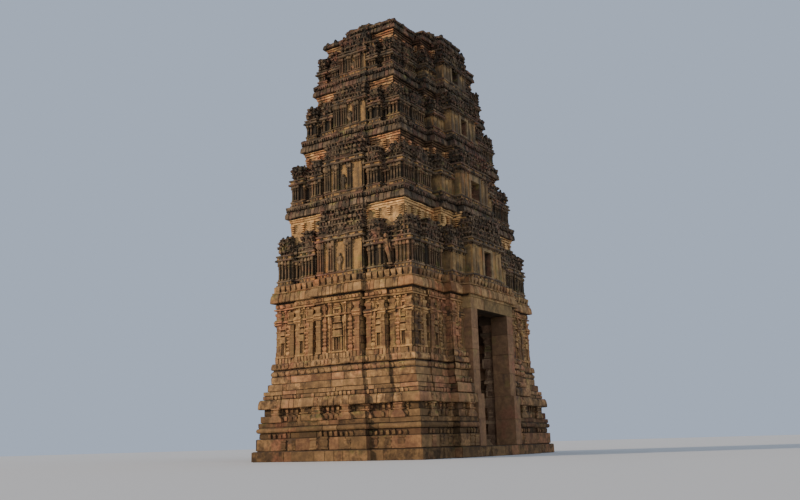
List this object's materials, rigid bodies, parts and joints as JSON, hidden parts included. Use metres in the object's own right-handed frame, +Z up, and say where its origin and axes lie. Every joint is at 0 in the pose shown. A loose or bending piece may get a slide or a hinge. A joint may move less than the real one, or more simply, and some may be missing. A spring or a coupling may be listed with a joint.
{
  "type": "ruined hindu temple gate tower",
  "caption": "Weathered temple gate tower: stone storey with a tall through passage on a moulded base, and stepped brick tiers with roofed pavilions, windows and eaves",
  "frame": {"origin": "on the ground under the middle of the plan", "axes": "+X along the long faces that hold the doorways, -Y out of the front doorway, +Z up"},
  "size_m": [14, 10.13, 22.03],
  "materials": {
    "sandstone": "weathered ashlar",
    "jamb": "smooth dressed slabs",
    "lintel": "pale dressed blocks",
    "passage": "carved, dark",
    "render": "black and cream weathered lime plaster on brick",
    "eave": "dark weathered plaster",
    "brick": "bare broken brickwork",
    "frame": "pale dressed stone"
  },
  "bodies": {
    "root": {"plinth_slab": "sandstone", "lower_base_left": "sandstone", "lower_base_right": "sandstone", "upper_base_left": "sandstone", "upper_base_right": "sandstone", "pilaster_wall_left": "sandstone", "pilaster_wall_right": "sandstone", "stone_cornice": "sandstone", "door_jamb_back_right": "jamb", "passage_pier_back_right": "passage", "door_jamb_back_left": "jamb", "passage_pier_back_left": "passage", "door_jamb_front_right": "jamb", "passage_pier_front_right": "passage", "door_jamb_front_left": "jamb", "passage_pier_front_left": "passage", "door_lintel_back": "lintel", "door_lintel_front": "lintel", "passage_ceiling": "passage", "tier_1_front_wall": "render", "tier_1_back_wall": "render", "tier_1_left_wall": "render", "tier_1_right_wall": "render", "tier_1_window_frame_back": "frame", "tier_1_window_frame_front": "frame", "tier_1_eave": "eave", "tier_2_front_wall": "render", "tier_2_back_wall": "render", "tier_2_left_wall": "render", "tier_2_right_wall": "render", "tier_2_window_frame_back": "frame", "tier_2_window_frame_front": "frame", "tier_2_eave": "eave", "tier_3_front_wall": "render", "tier_3_back_wall": "render", "tier_3_left_wall": "render", "tier_3_right_wall": "render", "tier_3_window_frame_back": "frame", "tier_3_window_frame_front": "frame", "tier_3_eave": "eave", "tier_4_front_wall": "render", "tier_4_back_wall": "render", "tier_4_left_wall": "render", "tier_4_right_wall": "render", "tier_4_window_frame_back": "frame", "tier_4_window_frame_front": "frame", "tier_4_eave": "eave", "broken_brick_top": "brick"}
  },
  "joints": []
}
